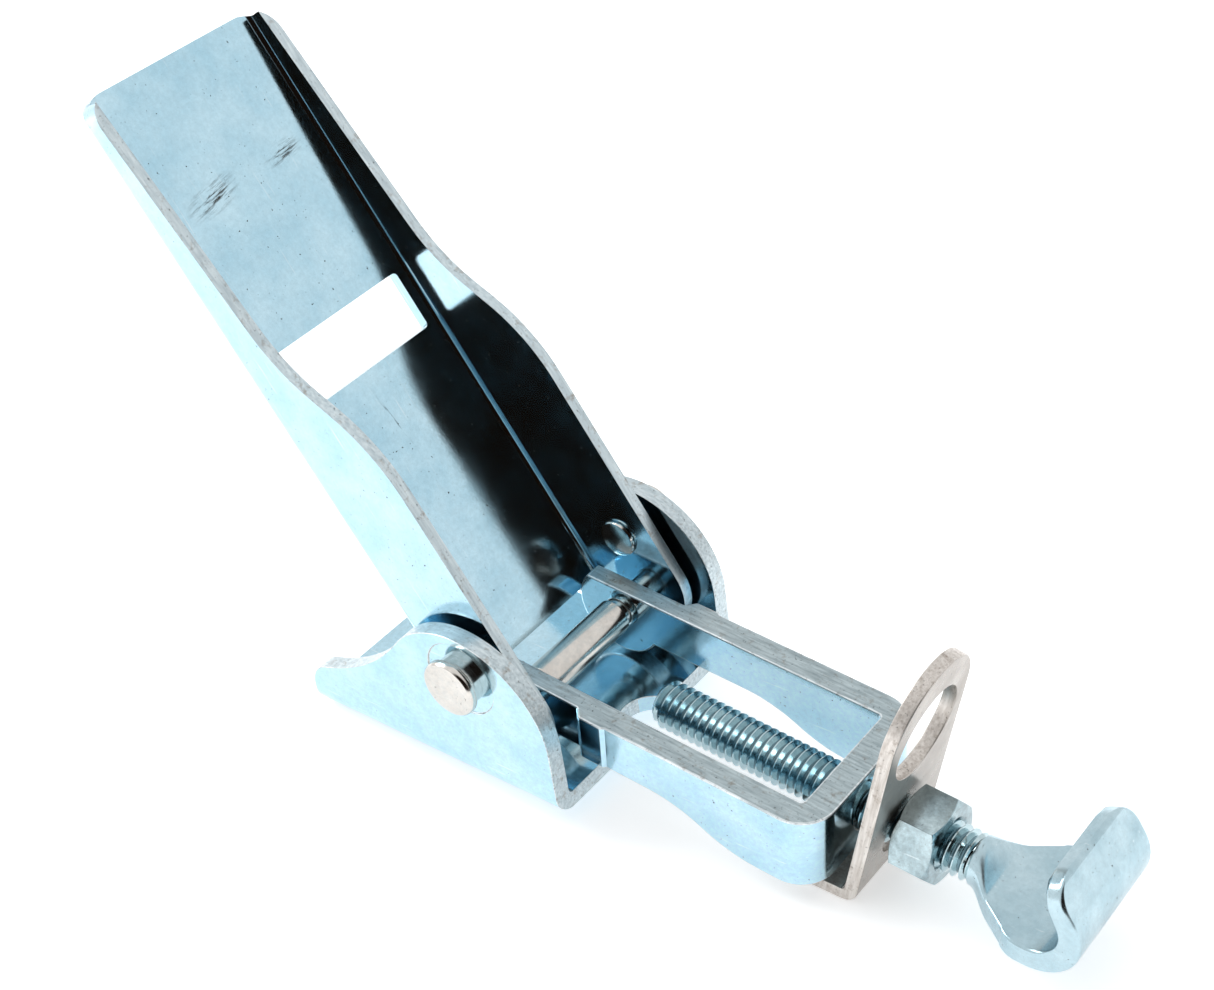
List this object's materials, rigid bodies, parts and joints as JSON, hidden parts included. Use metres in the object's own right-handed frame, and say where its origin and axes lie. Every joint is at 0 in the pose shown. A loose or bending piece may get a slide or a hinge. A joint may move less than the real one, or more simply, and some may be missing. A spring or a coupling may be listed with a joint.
{
  "type": "toggle bolt latch",
  "caption": "Over-centre toggle latch: folded base bracket, channel handle, yoke, screw-adjusted hook bolt with lock nut, and a padlock eye plate.",
  "frame": {"origin": "on the base bracket's mounting face, in the middle of its width, straight below the handle's pivot", "axes": "+X from the base towards the hook, +Y across the latch, +Z away from the mounting face"},
  "size_m": [0.1615, 0.0524, 0.109],
  "materials": {
    "zinc_steel": "bright blue zinc-plated steel, satin",
    "zinc_thread": "bright zinc-plated rolled thread and forged hook",
    "nickel_steel": "warm nickel-plated steel, satin"
  },
  "bodies": {
    "base": {"base_bracket": "zinc_steel", "base_rivet_near": "nickel_steel", "base_rivet_far": "nickel_steel"},
    "handle": {"handle": "zinc_steel", "yoke_pin": "nickel_steel"},
    "yoke": {"yoke": "zinc_steel"},
    "nut": {"lock_nut": "zinc_thread"},
    "bolt": {"hook_bolt": "zinc_thread"},
    "plate": {"padlock_plate": "nickel_steel"}
  },
  "joints": [
    {"name": "handle_pivot", "type": "hinge", "parent": "base", "child": "handle", "pos_m": [0, 0, 0.0219], "axis": [0, 1, 0], "range_deg": [0, 121.5]},
    {"name": "yoke_swing", "type": "hinge", "parent": "handle", "child": "yoke", "pos_m": [0.00311, 0, 0.01184], "axis": [0, 1, 0], "range_deg": [-121.6, 0]},
    {"name": "plate_rock", "type": "hinge", "parent": "yoke", "child": "plate", "pos_m": [0.0591, 0, -0.0031], "axis": [0, 1, 0], "range_deg": [-15.1, 0]},
    {"name": "adjust_travel", "type": "slide", "parent": "yoke", "child": "nut", "axis": [0.9962, 0, -0.0872], "range_m": [0, 0.0287]},
    {"name": "bolt_turn", "type": "hinge", "parent": "nut", "child": "bolt", "pos_m": [0.0627, 0, 0.00447], "axis": [0.9962, 0, -0.0872], "range_deg": [0, 7200]}
  ],
  "couplings": [
    {"joint": "yoke_swing", "follows": "handle_pivot", "ratio": -1},
    {"joint": "plate_rock", "follows": "handle_pivot", "ratio": -0.12345},
    {"joint": "adjust_travel", "follows": "bolt_turn", "m_per_rad": 0.00022459}
  ]
}
